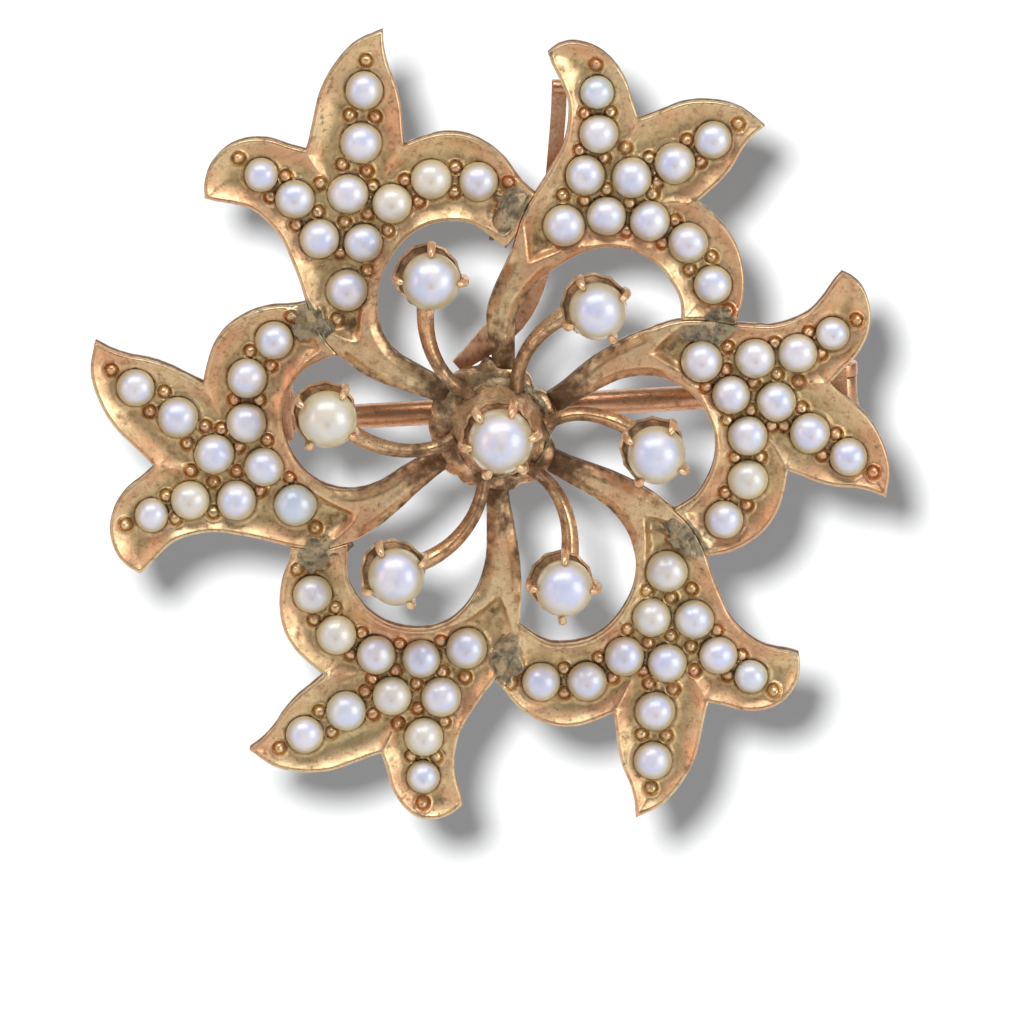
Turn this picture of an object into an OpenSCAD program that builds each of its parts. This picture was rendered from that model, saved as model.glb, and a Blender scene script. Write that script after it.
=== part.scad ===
// Antique gold brooch: a pinwheel flower of six curled, pearl-set petals with
// six pearl-tipped stamens, a pearl in a claw crown, a hinged pin and a bail.
// Modelled flat (X right, Y up, Z towards the viewer, petal backs at Z = 0),
// then stood upright as it is worn: face towards -Y, top towards +Z.

/* [Petals] */
// Whole thickness of a petal at its raised rim
petal_t = 0.8; // [0.6:0.05:1.2]
// Thickness left under the sunk floor that the pearls stand on
floor_t = 0.55; // [0.4:0.05:0.8]
// Width of the raised rim
rim_w = 0.28; // [0.2:0.02:0.45]
// Radius inside which the petal is a plain solid stem
stem_r = 6.9; // [6:0.1:8]
// Depth of each pearl's seat below the floor
seat_depth = 0.25; // [0.15:0.05:0.35]
// Radius of a raised grain of metal that holds a pearl
grain_r = 0.2; // [0.14:0.01:0.26]

/* [Hub] */
// Radius of the plate that the petals and the crown are soldered to
hub_r = 2.35; // [2:0.05:3]
// Radius of the crown at its foot
crown_foot_r = 1.9; // [1.6:0.05:2.3]
// Radius of the crown at its mouth
crown_top_r = 1.48; // [1.3:0.02:1.9]
// Height of the crown
crown_h = 2.15; // [1.5:0.05:3]
// Radius of the centre pearl
centre_pearl_r = 1.3; // [1.1:0.05:1.6]

/* [Stamens] */
// Radius of a stamen pearl
stamen_pearl_r = 1.15; // [0.9:0.05:1.4]
// Radius of a stamen's wire
wire_r = 0.33; // [0.2:0.01:0.45]
// Radius of a cup at its foot
cup_foot_r = 0.85; // [0.6:0.05:1.2]
// Radius of a cup at its mouth
cup_top_r = 1.3; // [1.2:0.05:1.6]
// Height of a cup
cup_h = 1.3; // [1:0.05:1.8]
// Height of a cup's foot above the petal backs
cup_z = 1.65; // [1.2:0.05:2.4]

/* [Pin] */
// Radius of the pin stem
pin_r = 0.5; // [0.4:0.02:0.6]
// Distance from the rivet to the point
pin_len = 25.2; // [22:0.1:28]
// Depth of the pin's axis behind the petals
pin_depth = 1.45; // [1.2:0.05:2.5]
// Slope of the pin across the back
pin_tilt = 3.3; // [-10:0.1:10]
// How far the pin springs sideways to lie under the hook
hook_travel = 0.75; // [0.5:0.05:1.2]

/* [Bail] */
// Width of the folding bail's strip
bail_w = 0.6; // [0.4:0.05:0.8]
// Thickness of its strip
bail_t = 0.4; // [0.3:0.05:0.6]
// Depth of its hinge behind the petals
bail_depth = 0.75; // [0.6:0.05:1.2]

/* [Hidden] */
$fn = 48;
fit = 0.01;        // gap between a pearl and its seat
run_fit = 0.04;    // radial gap of a turning joint
centre = [-0.35, 0.2, 0.93];   // middle of the flat model's box

rose = [0.80, 0.62, 0.42];
warm = [0.72, 0.52, 0.34];
pin_colour = [0.66, 0.44, 0.28];
pearl_colour = [0.90, 0.89, 0.87];
solder_colour = [0.42, 0.41, 0.38];

// Petals are numbered clockwise from the one at the upper left. Each was cut by
// hand, so each row stretches, skews and shifts the one drawing a little:
// [x by x, x by y, y by x, y by y, shift x, shift y, length of the blunt lobe's end]
cuts = [
    [1.00, 0.06, 0.00, 1.06, -0.10, -0.70, 0.95],
    [1.01, -0.10, -0.01, 0.93, 1.55, 0.80, 1.0],
    [1.00, -0.02, 0.00, 0.94, 0.20, 0.20, 1.0],
    [0.99, 0.03, 0.05, 1.02, -0.40, 0.20, 0.8],
    [1.00, -0.04, 0.01, 1.00, -0.30, 0.15, 0.7],
    [1.00, 0.09, -0.06, 1.05, -1.00, -0.75, 0.95]];
first_petal = 17.3;

// Stamens in the same order: [direction, distance of the pearl from the centre]
stamens = [[113, 7.0], [54, 6.5], [-5, 6.2], [-67, 6.5], [-127, 6.9], [172.5, 6.9]];

// The drawing of one petal, its leaf pointing up: smooth runs that meet at the
// leaf's tip, the notches, the blunt lobe's tip, the stem's foot and the hook.
leaf_left = [[-0.55, 16.45], [-1.75, 16.3], [-2.8, 15.7], [-3.6, 14.9], [-4.15, 13.95],
    [-4.5, 13.3], [-4.7, 13.0]];
lobe_top = [[-4.7, 13.0], [-5.3, 13.35], [-6.0, 13.8], [-6.9, 14.05], [-7.8, 13.95],
    [-8.6, 13.5], [-9.0, 12.95], [-9.15, 12.4]];
stem_outside = [[-9.15, 12.4], [-8.7, 12.15], [-8.0, 11.85], [-7.35, 11.45], [-6.85, 10.8],
    [-6.5, 10.05], [-6.35, 9.2], [-6.25, 8.4], [-6.2, 7.5], [-6.1, 6.7], [-5.85, 5.9],
    [-5.35, 5.0], [-4.7, 4.05], [-3.9, 3.2], [-3.1, 2.55], [-2.3, 1.95], [-1.5, 1.2]];
stem_inside = [[-0.7, 1.6], [-1.3, 2.25], [-1.95, 2.95], [-2.5, 3.55], [-3.05, 4.25],
    [-3.4, 5.1], [-3.5, 5.95], [-3.35, 6.9], [-2.9, 7.75], [-2.2, 8.4], [-1.45, 8.8],
    [-0.6, 8.95], [0.3, 8.8], [1.1, 8.4], [2.1, 7.2]];
hook_outside = [[3.9, 8.6], [3.3, 9.5], [2.9, 10.45], [2.35, 11.2], [1.6, 11.8],
    [0.75, 12.1], [-0.1, 12.15], [-0.85, 12.1]];
leaf_right = [[-0.85, 12.1], [-0.75, 12.75], [-0.62, 13.5], [-0.6, 14.3], [-0.7, 15.1],
    [-0.68, 15.8], [-0.55, 16.45]];

// Pearls of one petal, [x, y, diameter]: the stem's, then the blunt lobe's three,
// the leaf's three and the hook's four.
pearls = [[-4.5, 7.45, 1.68], [-5.05, 9.65, 1.6], [-5.6, 11.35, 1.55], [-6.65, 12.6, 1.36],
    [-3.5, 10.95, 1.6], [-2.5, 12.65, 1.64], [-1.85, 14.5, 1.52], [-3.4, 9.0, 1.56],
    [-1.9, 10.1, 1.6], [-0.15, 10.55, 1.6], [1.65, 9.95, 1.55]];
// Neighbouring pearls that share a pair of grains
pairs = [[0, 7], [7, 1], [1, 2], [2, 3], [7, 4], [4, 5], [5, 6], [7, 8], [8, 9], [9, 10]];

function spline(a, b, c, d, t) = 0.5 * (2 * b + (c - a) * t
    + (2 * a - 5 * b + 4 * c - d) * t * t + (3 * b - a - 3 * c + d) * t * t * t);
// A run through its points, three steps to each, without its last point
function run(p) = let (m = len(p) - 1) [for (i = [0:m - 1]) for (j = [0:2])
    spline(i == 0 ? 2 * p[0] - p[1] : p[i - 1], p[i], p[i + 1],
        i == m - 1 ? 2 * p[m] - p[m - 1] : p[i + 2], j / 3)];
function unit(v) = v / norm(v);
function turned(p, a) = [p.x * cos(a) - p.y * sin(a), p.x * sin(a) + p.y * cos(a)];
function ease(t) = let (u = min(1, max(0, t))) u * u * (3 - 2 * u);
// A point of the drawing as petal k has it: its own cut fades out near the hub
function cut(p, k) = let (c = cuts[k], w = ease((norm(p) - 4) / 4.5),
    x = p.x < -7.3 ? -7.3 + c[6] * (p.x + 7.3) : p.x,
    q = [c[0] * x + c[1] * p.y + c[4], c[2] * x + c[3] * p.y + c[5]])
    turned(p + w * (q - p), first_petal - 60 * k);
// Distance from a point to the segment from a to b
function gap(q, a, b) = let (u = b - a, t = min(1, max(0, (q - a) * u / (u * u)))) norm(q - a - t * u);
// An outline moved inwards by d, without the points that a sharp tip leaves no room for
function inset(p, d) = let (n = len(p), moved = [for (i = [0:n - 1]) let (
    a = unit(p[i] - p[(i + n - 1) % n]), b = unit(p[(i + 1) % n] - p[i]),
    m = [-a.y - b.y, a.x + b.x]) p[i] + d * m / max(0.3, 1 + a * b)])
    [for (q = moved) if (min([for (i = [0:n - 1]) gap(q, p[i], p[(i + 1) % n])]) > 0.99 * d) q];

drawing = concat(run(leaf_left), run(lobe_top), run(stem_outside), [[-1.5, 1.2]],
    run(stem_inside), [[2.1, 7.2]], run(hook_outside), run(leaf_right));
function outline(k) = [for (p = drawing) cut(p, k)];
function pearl_spots(k) = [for (p = pearls) concat(cut([p.x, p.y], k), p[2] / 2)];
// Grains: two beside the line between each pair, kept where no pearl is in the way
function grains(k) = let (s = pearl_spots(k)) [for (q = pairs) for (side = [-1, 1]) let (
    a = [s[q[0]].x, s[q[0]].y], b = [s[q[1]].x, s[q[1]].y], u = unit(b - a),
    g = (a + b) / 2 + side * 0.62 * [-u.y, u.x],
    room = min([for (o = s) norm(g - [o.x, o.y]) - o[2]])) if (room > grain_r + fit) g];

module upright() rotate([90, 0, 0]) translate(-centre) children();

module blank(k, h) linear_extrude(h) polygon(outline(k));

module petal(k) upright() color(rose) {
    next = (k + 1) % 6;
    difference() {
        blank(k, petal_t);
        translate([0, 0, floor_t]) difference() {
            linear_extrude(petal_t) polygon(inset(outline(k), rim_w));
            translate([0, 0, -1]) cylinder(r = stem_r, h = 4);
        }
        for (s = pearl_spots(k)) translate([s.x, s.y, floor_t - seat_depth])
            cylinder(r = s[2] + fit, h = 2);
        translate([0, 0, -1]) cylinder(r = hub_r, h = 4);
        translate([0, 0, -1]) blank(next, 4);
    }
    for (g = grains(k)) translate([g.x, g.y, floor_t]) difference() {
        sphere(grain_r);
        translate([0, 0, -1.1]) cube(2, center = true);
    }
}

module petal_pearls(k) upright() color(pearl_colour)
    for (s = pearl_spots(k)) translate([s.x, s.y, floor_t]) difference() {
        sphere(s[2]);
        translate([0, 0, -seat_depth - 1]) cube(2, center = true);
    }

module hub_plate() upright() color(warm) cylinder(r = hub_r, h = petal_t);

module crown_body() cylinder(r1 = crown_foot_r, r2 = crown_top_r, h = crown_h);

// A claw: a small tapered bar standing at radius r, leaning in over the pearl
module claw(r, lean, h, foot) translate([r, 0, 0]) rotate([0, -lean, 0])
    cylinder(r1 = foot, r2 = foot * 0.62, h = h);

module centre_crown() upright() color(warm) translate([0, 0, petal_t]) difference() {
    union() {
        difference() {
            crown_body();
            for (a = [39:60:339]) rotate(a) translate([crown_top_r + 0.55, 0, -1])
                cylinder(r = 0.42, h = crown_h + 2);
            translate([0, 0, 0.6]) cylinder(r = 0.85, h = crown_h);
        }
        for (a = [9:60:309]) rotate(a) translate([0, 0, crown_h - 0.5])
            claw(crown_top_r - 0.08, 14, 1.15, 0.2);
    }
    translate([0, 0, crown_h]) sphere(centre_pearl_r + fit);
}

module centre_pearl() upright() color(pearl_colour)
    translate([0, 0, petal_t + crown_h]) sphere(centre_pearl_r);

module at_stamen(k) rotate(stamens[k][0]) translate([stamens[k][1], 0, cup_z]) children();

module cup_body() cylinder(r1 = cup_foot_r, r2 = cup_top_r, h = cup_h);

module stamen_cup(k) upright() color(warm) at_stamen(k) difference() {
    union() {
        cup_body();
        for (a = [-55:90:215]) rotate(a) translate([0, 0, cup_h - 0.4])
            claw(cup_top_r - 0.06, 16, 1.0, 0.19);
    }
    translate([0, 0, cup_h]) sphere(stamen_pearl_r + fit);
    for (a = [-10:90:260]) rotate(a) translate([cup_top_r + 0.1, 0, cup_h + 0.2])
        rotate([0, 90, 0]) cylinder(r = 0.42, h = 1.2, center = true);
}

module stamen_pearl(k) upright() color(pearl_colour) at_stamen(k)
    translate([0, 0, cup_h]) sphere(stamen_pearl_r);

// The wire leaves the crown's foot, bows to one side and rises into the cup's
module stamen_wire(k) upright() color(warm) difference() {
    root = [1.75, 0.5];
    tip = [stamens[k][1] - 0.75, 0.45];
    chord = norm(tip - root);
    bow = 0.16 * chord;
    bend_r = chord * chord / (8 * bow) + bow / 2;
    half = asin(chord / 2 / bend_r);
    rotate(stamens[k][0]) translate([root.x, root.y, petal_t + 0.4])
        rotate([0, -atan2(cup_z - petal_t, chord) * 0.55, 0])
        translate([chord / 2, bow - bend_r, 0])
        rotate(90 - half - 3) rotate_extrude(angle = 2 * half + 6)
        translate([bend_r, 0]) circle(wire_r);
    translate([0, 0, petal_t]) crown_body();
    at_stamen(k) cup_body();
}

// Beads of solder where each hook meets the next petal, and a ring at the crown
module solder_joints() upright() color(solder_colour) {
    for (k = [0:5]) let (p = cut([2.75, 8.75], k)) difference() {
        translate([p.x, p.y, floor_t]) cylinder(r1 = 0.8, r2 = 0.55, h = petal_t - floor_t + 0.2);
        bare_petal(k);
        bare_petal((k + 1) % 6);
    }
    translate([0, 0, petal_t]) difference() {
        cylinder(r1 = hub_r - 0.05, r2 = crown_foot_r, h = 0.12);
        crown_body();
    }
}

// A petal's rim and stem alone, which the solder flows between
module bare_petal(k) difference() {
    blank(k, petal_t);
    translate([0, 0, -1]) blank((k + 1) % 6, 4);
    translate([0, 0, floor_t]) linear_extrude(petal_t) polygon(inset(outline(k), rim_w));
}

// The pin's own frame: rivet at the origin, stem along -X, up is +Y
module at_pin() translate([13.6, 1.2, -pin_depth]) rotate(pin_tilt) children();
module across(r, h) rotate([90, 0, 0]) cylinder(r = r, h = h, center = true);
module along(r1, r2, from, to) translate([-from, 0, 0]) rotate([0, -90, 0])
    cylinder(r1 = r1, r2 = r2, h = to - from);

module hinge_bracket() upright() color(pin_colour) at_pin() difference() {
    union() {
        translate([-1.6, -1.15, pin_depth - 0.4]) cube([1.9, 2.3, 0.4]);
        for (y = [-0.85, 0.85]) translate([0, y, 0]) {
            across(0.8, 0.5);
            translate([-0.8, -0.25, 0]) cube([1.1, 0.5, pin_depth - 0.2]);
        }
    }
    across(0.35, 4);
}

module hinge_rivet() upright() color(rose) at_pin() {
    across(0.35, 2.2);
    for (y = [-1.18, 1.18]) translate([0, y, 0]) across(0.52, 0.16);
}

module pin_knuckle() upright() color(pin_colour) at_pin() difference() {
    union() {
        across(0.75, 1.1);
        translate([-1, -0.5, -0.4]) cube([0.7, 1, 0.8]);
        along(0.7, 0.7, 0.92, 1.5);
    }
    across(0.35 + run_fit, 4);
}

module pin_stem() upright() color(pin_colour) at_pin() {
    along(pin_r, pin_r, 1.53, 19);
    along(pin_r, 0.42, 19, 23.4);
    along(0.42, 0.06, 23.4, pin_len);
}

// The catch: a strip soldered behind a petal that curls over the pin from above
module catch() upright() color(pin_colour) at_pin() translate([-23.1, hook_travel, 0]) {
    translate([-1.15, -1.3, pin_depth - 0.35]) cube([2.3, 2.6, 0.35]);
    translate([-1.15, 0.55, 0]) cube([2.3, 0.35, pin_depth]);
    difference() {
        rotate([0, 90, 0]) cylinder(r = 0.9, h = 2.3, center = true);
        rotate([0, 90, 0]) cylinder(r = 0.55, h = 4, center = true);
        translate([-2, -2, 0]) cube(4);
        translate([-2, -4.15, -2]) cube(4);
    }
}

// The bail's own frame: hinge bar at the origin along Y, strip hanging along +X
module at_bail() translate([3.2, 13.6, -bail_depth]) rotate(270) children();

module bail_tube() upright() color(pin_colour) at_bail() difference() {
    union() {
        across(0.55, 0.9);
        translate([-0.45, -0.45, 0]) cube([0.9, 0.9, bail_depth]);
    }
    across(0.3 + run_fit, 4);
}

// A ribbon about a line of points, with square ends; h holds its half width at each point
function ribbon(p, h) = let (n = len(p), side = [for (i = [0:n - 1]) let (
    a = unit(p[min(n - 1, i + 1)] - p[max(0, i - 1)])) h[i] * [-a.y, a.x]])
    concat([for (i = [0:n - 1]) p[i] + side[i]], [for (i = [n - 1:-1:0]) p[i] - side[i]]);

// The bail: a strip that hangs from its bar and curves under towards the hub as
// an open hook. The bar's far end is headed, so it stays in its tube.
bail_line = concat([[-0.3, -0.87]], run([[0, -0.87], [1.25, -0.92], [3.7, -1.12], [5.75, -1.32],
    [7.59, -1.6], [8.93, -2.32], [10.16, -3.6], [11.31, -4.92]]), [[11.31, -4.92]]);
// It is broader where it turns under, and narrows again to its open end
bail_half = [for (i = [0:len(bail_line) - 1]) let (t = i / (len(bail_line) - 1))
    bail_w / 2 + 0.27 * ease((t - 0.6) / 0.22) * (1 - ease((t - 0.84) / 0.16))];

module bail() upright() color(pin_colour) at_bail() {
    translate([0, 0, -bail_t / 2]) linear_extrude(bail_t) polygon(ribbon(bail_line, bail_half));
    translate([0, -0.25, 0]) across(0.3, 1.7);
    translate([0, 0.65, 0]) across(0.42, 0.2);
}

hub_plate();
petal(0);  // petal_1
petal(1);  // petal_2
petal(2);  // petal_3
petal(3);  // petal_4
petal(4);  // petal_5
petal(5);  // petal_6
petal_pearls(0);  // petal_pearls_1
petal_pearls(1);  // petal_pearls_2
petal_pearls(2);  // petal_pearls_3
petal_pearls(3);  // petal_pearls_4
petal_pearls(4);  // petal_pearls_5
petal_pearls(5);  // petal_pearls_6
stamen_wire(0);  // stamen_wire_1
stamen_wire(1);  // stamen_wire_2
stamen_wire(2);  // stamen_wire_3
stamen_wire(3);  // stamen_wire_4
stamen_wire(4);  // stamen_wire_5
stamen_wire(5);  // stamen_wire_6
stamen_cup(0);  // stamen_cup_1
stamen_cup(1);  // stamen_cup_2
stamen_cup(2);  // stamen_cup_3
stamen_cup(3);  // stamen_cup_4
stamen_cup(4);  // stamen_cup_5
stamen_cup(5);  // stamen_cup_6
stamen_pearl(0);  // stamen_pearl_1
stamen_pearl(1);  // stamen_pearl_2
stamen_pearl(2);  // stamen_pearl_3
stamen_pearl(3);  // stamen_pearl_4
stamen_pearl(4);  // stamen_pearl_5
stamen_pearl(5);  // stamen_pearl_6
centre_crown();
centre_pearl();
solder_joints();
hinge_bracket();
hinge_rivet();
pin_knuckle();
pin_stem();
catch();
bail_tube();
bail();
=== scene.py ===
"""A gold flower brooch set with seed pearls: six forked petals soldered into a wreath,
six pearl stamens, a crowned centre pearl, and the pin and bail behind it.

The plate lies in the plane of u (right) and v (up), with w towards the viewer and w = 0 at the
petals' backs. Lengths are millimetres until a mesh is made, and every place comes from the CAD
nodes."""

import math

import bmesh
import bpy
import numpy as np
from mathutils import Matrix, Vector, noise
from mathutils.geometry import delaunay_2d_cdt


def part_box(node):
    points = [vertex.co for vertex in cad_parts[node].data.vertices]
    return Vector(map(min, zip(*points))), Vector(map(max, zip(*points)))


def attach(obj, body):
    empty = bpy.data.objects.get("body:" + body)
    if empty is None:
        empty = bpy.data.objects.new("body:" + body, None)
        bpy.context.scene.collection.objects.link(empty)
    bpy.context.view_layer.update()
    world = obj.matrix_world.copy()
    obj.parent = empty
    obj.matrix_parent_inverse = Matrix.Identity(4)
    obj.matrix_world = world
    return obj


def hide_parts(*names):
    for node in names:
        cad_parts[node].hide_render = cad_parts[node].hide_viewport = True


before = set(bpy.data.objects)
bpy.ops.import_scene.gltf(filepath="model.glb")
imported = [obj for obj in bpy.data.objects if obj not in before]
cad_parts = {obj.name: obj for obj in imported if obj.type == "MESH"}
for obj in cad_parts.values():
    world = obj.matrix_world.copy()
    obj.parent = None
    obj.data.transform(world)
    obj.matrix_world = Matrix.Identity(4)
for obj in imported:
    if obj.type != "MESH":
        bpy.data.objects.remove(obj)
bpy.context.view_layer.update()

MM = 0.001

# Petals' meshes
OUTLINE_STEP = 0.12  # spacing of the outline's points
OUTLINE_CORNER = 48  # degrees, turns sharper than this stay sharp
RIM_ROWS = (0.04, 0.085, 0.135, 0.168, 0.215)  # distances in from the outline
GRID_STEP = 0.085  # spacing of the points inside the rows
GRID_GAP = 0.04  # between the last row and the grid
GRAIN_RINGS = ((1, 0), (7, 0.07), (10, 0.13), (13, 0.175), (14, 0.205), (15, 0.245), (16, 0.29),
               (16, 0.34), (16, 0.385))  # points in each ring round a grain, and its radius
GRAIN_CLEAR = 0.4  # the grid stays this far from a grain
WALL_MIDDLE = 0.4  # height of the wall's middle row, as a share of the wall

# Petals' shape
RIM_WIDTH = 0.14  # the bright line along the edge
RIM_SOFT = 0.06  # rounding of the rim's outer corner
SCOOP_WIDTH = 0.85  # the bright-cut slope from the rim to the floor
SCOOP_DEPTH = 0.38
STEM_BEVEL = 0.34  # slope at each side of a stem
STEM_DROP = 0.2
FORK_RADIUS = 6.9  # where the stem ends and the scooped floor begins
CREASE_LENGTH = 2.2  # ridge that runs in from the notch between two lobes
GRAIN_RADIUS = 0.21
GRAIN_SIDE = 0.5  # distance of a grain from the line between its two pearls
GRAIN_REACH = 2.35  # pearls further apart than this share no grains
GRAIN_END = 0.42  # from the last pearl of an arm to the lone grain beyond it
GRAIN_ROOM = 0.16  # least room between a grain's middle and a pearl
GRAIN_APART = 0.46  # least distance between two grains
GRAIN_INSET = 0.42  # least distance from a grain's middle to the outline
SEAT_DEPTH = 0.12  # of a pearl's seat below the floor
NOTCH_TURN = -30  # degrees, a notch is at least this sharp
NOTCH_RADIUS = 9  # from the hub, nearer corners belong to the stem
NOTCH_APART = 1.5
SOLDER_REACH = 0.85  # how far solder has flowed from each joint
HUB_RANGE = 1  # solder nearer the hub than this is the crown's, not a joint's
# Painted shade on the petals' side walls, in the units of the darkening attribute
WALL_SHADE = 1.3
# How much darker the stem's bevelled sides are coloured
STEM_SIDE_DARKENING = 0.62  # on the stem's bevels

# Pearls
SEED = 11  # of the random draws
PEARL_RINGS = 20
PEARL_SEGMENTS = 32
PEARL_SEAT = 0.22  # height of the half pearls' flat undersides above the petals' backs
PEARL_RAISE = 0.05  # of the half pearls above their CAD solids
PEARL_UNEVEN = 0.035  # as a share of the radius
# Painted reflection of the camera: a dull spot on each pearl's front
CAMERA_SPOT_SIZE = 0.17  # of the dull spot at each pearl's top, as a share of the radius

# Settings
WIRE_WIDTH = (0.27, 0.38)  # half width of a stamen wire at the hub and at the cup
CLAWS = 4
CLAW_TURN = math.radians(-25)  # of the first claw from the stamen's own direction
STAMEN_TINTS = (0.62, 0.4, 0.3, 0.2, 0.45, 0.93)  # of the stamens' pearls, from lilac to cream
CUP_LEAN = np.array([-0.16, 0.14])  # the cups stand a little to one side of their pearls
CROWN_LEAN = np.array([-0.12, 0.1])
CROWN_CLAWS = 6
CROWN_TURN = math.radians(9)  # of the crown's first claw
CLAW_SHIFT = 0.2  # how far the claws follow their cup's lean
HUB_SEGMENTS = 180
WIRE_SIDES = 16
WIRE_STEPS = 26

SEAM_TURN = math.radians(-26)  # of a soldered seam from the direction out from the hub
SEAM_SIZE = (1.25, 0.52, 0.34)  # half length, half width and half height of its solder
SEAM_SHIFT = 0.42  # towards the hub, where the solder fills the corner
FILLET_SEGMENTS = 96  # round the crown's foot
FILLET_SIDES = 12

# Metals and pearl, as linear colours
LIGHT_GOLD, ROSE_GOLD = (0.85, 0.63, 0.36), (0.82, 0.48, 0.27)
DULL_GOLD = (0.95, 0.67, 0.38), (0.91, 0.54, 0.29)
WIRE_GOLD = (0.86, 0.59, 0.33), (0.80, 0.46, 0.24)
PIN_GOLD = (0.74, 0.42, 0.26), (0.66, 0.34, 0.19)
FLOOR_GREEN = (0.66, 0.51, 0.26), (0.42, 0.31, 0.14)
BROWN = (0.15, 0.07, 0.03)
FINE_DIRT, SPECKS = (0.3, 0.2, 0.1), (0.22, 0.14, 0.06)
VERDIGRIS = (0.055, 0.085, 0.06)
LEAD = (0.14, 0.11, 0.07), (0.40, 0.33, 0.21)  # dark and light patches of old solder
LEAD_PITS = (0.035, 0.03, 0.022)
LILAC, CLOUD = (0.62, 0.66, 0.88), (0.79, 0.77, 0.82)
# Painted shade: darker, yellower tones for each pearl's rim as it turns from the view
PEARL_EDGE_SHADE = (0.62, 0.53, 0.34), (0.50, 0.41, 0.22)
# The last colour is a painted reflection of the camera, a dull spot on each pearl's front
CREAM, AQUA, CAMERA_SPOT_TONE = (0.80, 0.72, 0.45), (0.45, 0.70, 0.78), (0.52, 0.38, 0.26)

# Camera and studio, in metres
CAMERA_DISTANCE = 0.25
CAMERA_ELEVATION = 12
FIELD = 0.04096  # width of the picture at the plate
SENSOR = 36
CAMERA_SHIFT = (0.011, -0.082)
CARD_DISTANCE = 0.032
CARD_REACH = 0.045
CARD_GREY, CARD_GLOW = (0.46, 0.465, 0.47), 0.02
FLOOR_HEIGHT = -0.046
FLOOR_REACH = 0.6
FLOOR_GREY, FLOOR_GLOW = (0.45, 0.45, 0.45), 0.5
LIGHT_DISTANCE = 0.32
DROP_OFFSET = (-0.0105, 0, 0.0115)  # of the backdrop's own light from the camera
AIR_STRENGTH = 0.27


def box_mm(node):
    """Low and high corner of a CAD node."""
    low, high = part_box(node)
    return np.array(low) / MM, np.array(high) / MM


hub_low, hub_high = box_mm("hub_plate")
HUB = np.array([(hub_low[0] + hub_high[0]) / 2, (hub_low[2] + hub_high[2]) / 2])
HUB_RADIUS = (hub_high[0] - hub_low[0]) / 2
BACK = hub_high[1]
PLATE = BACK - hub_low[1]


def flat(points):
    """Row frame millimetres (x, y, z) to the plate's (u, v, w)."""
    p = np.asarray(points, float)
    return np.stack([p[..., 0], p[..., 2], BACK - p[..., 1]], -1)


def smooth(t):
    """An eased step from 0 to 1."""
    t = np.clip(t, 0, 1)
    return t * t * (3 - 2 * t)


def bell(x, middle, width):
    """A smooth bump of height 1 round middle."""
    return np.exp(-((x - middle) / width) ** 2)


def wobble(points, scale, seed):
    """Smooth noise from -1 to 1 at each point, one lump per 1/scale millimetres."""
    return np.array([noise.noise(Vector((p[0] * scale, p[1] * scale, seed))) for p in points])


def node_points(name):
    """The points of a CAD node's mesh, (x, y, z)."""
    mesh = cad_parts[name].data
    co = np.zeros(len(mesh.vertices) * 3)
    mesh.vertices.foreach_get("co", co)
    return co.reshape(-1, 3) / MM


def islands(name):
    """The separate solids of a CAD node, each as its points in the plate's frame."""
    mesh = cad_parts[name].data
    points = node_points(name)
    keys = {}
    place = [keys.setdefault(tuple(np.round(p * 500).astype(int)), len(keys)) for p in points]
    parent = list(range(len(keys)))

    def root(i):
        while parent[i] != i:
            parent[i] = parent[parent[i]]
            i = parent[i]
        return i

    for edge in mesh.edges:
        a, b = (root(place[i]) for i in edge.vertices)
        parent[a] = b
    groups = {}
    for i, p in enumerate(points):
        groups.setdefault(root(place[i]), []).append(p)
    found = [flat(np.array(g)) for g in groups.values()]
    return sorted(found, key=lambda g: tuple(np.round(g.mean(0), 3)))


def back_outline(name):
    """The longest edge loop of a node's flat back, counterclockwise in (u, v)."""
    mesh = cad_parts[name].data
    points = flat(node_points(name))
    count, spot = {}, {}
    for face in mesh.polygons:
        corners = [points[i] for i in face.vertices]
        if max(abs(c[2]) for c in corners) > 0.004:
            continue
        keys = [tuple(np.round(c[:2] * 1000).astype(int)) for c in corners]
        for key, corner in zip(keys, corners):
            spot[key] = corner[:2]
        for a, b in zip(keys, keys[1:] + keys[:1]):
            if a != b:
                count[frozenset((a, b))] = count.get(frozenset((a, b)), 0) + 1
    ways = {}
    for edge, n in count.items():
        if n == 1:
            a, b = edge
            ways.setdefault(a, []).append(b)
            ways.setdefault(b, []).append(a)
    loops, left = [], set(ways)
    while left:
        start = min(left)
        loop, here = [start], start
        left.discard(start)
        while True:
            onward = [k for k in ways[here] if k in left]
            if not onward:
                break
            here = min(onward)
            left.discard(here)
            loop.append(here)
        loops.append(np.array([spot[k] for k in loop]))
    loop = max(loops, key=len)
    nxt = np.roll(loop, -1, 0)
    area = (loop[:, 0] * nxt[:, 1] - nxt[:, 0] * loop[:, 1]).sum()
    return loop if area > 0 else loop[::-1]


def turns(loop):
    """Turn of a closed loop at each point, in degrees, positive to the left."""
    a, b = loop - np.roll(loop, 1, 0), np.roll(loop, -1, 0) - loop
    cross = a[:, 0] * b[:, 1] - a[:, 1] * b[:, 0]
    return np.degrees(np.arctan2(cross, (a * b).sum(1)))


def resample(loop, step):
    """A closed loop through the same points on smooth curves, keeping its sharp corners."""
    sharp = np.abs(turns(loop)) > OUTLINE_CORNER
    n, out = len(loop), []
    for i in range(n):
        b, c = loop[i], loop[(i + 1) % n]
        a = 2 * b - c if sharp[i] else loop[i - 1]
        d = 2 * c - b if sharp[(i + 1) % n] else loop[(i + 2) % n]
        m = max(1, round(np.linalg.norm(c - b) / step))
        for j in range(m):
            t = j / m
            out.append(0.5 * (2 * b + (c - a) * t + (2 * a - 5 * b + 4 * c - d) * t * t
                              + (3 * b - a - 3 * c + d) * t ** 3))
    return np.array(out)


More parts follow.
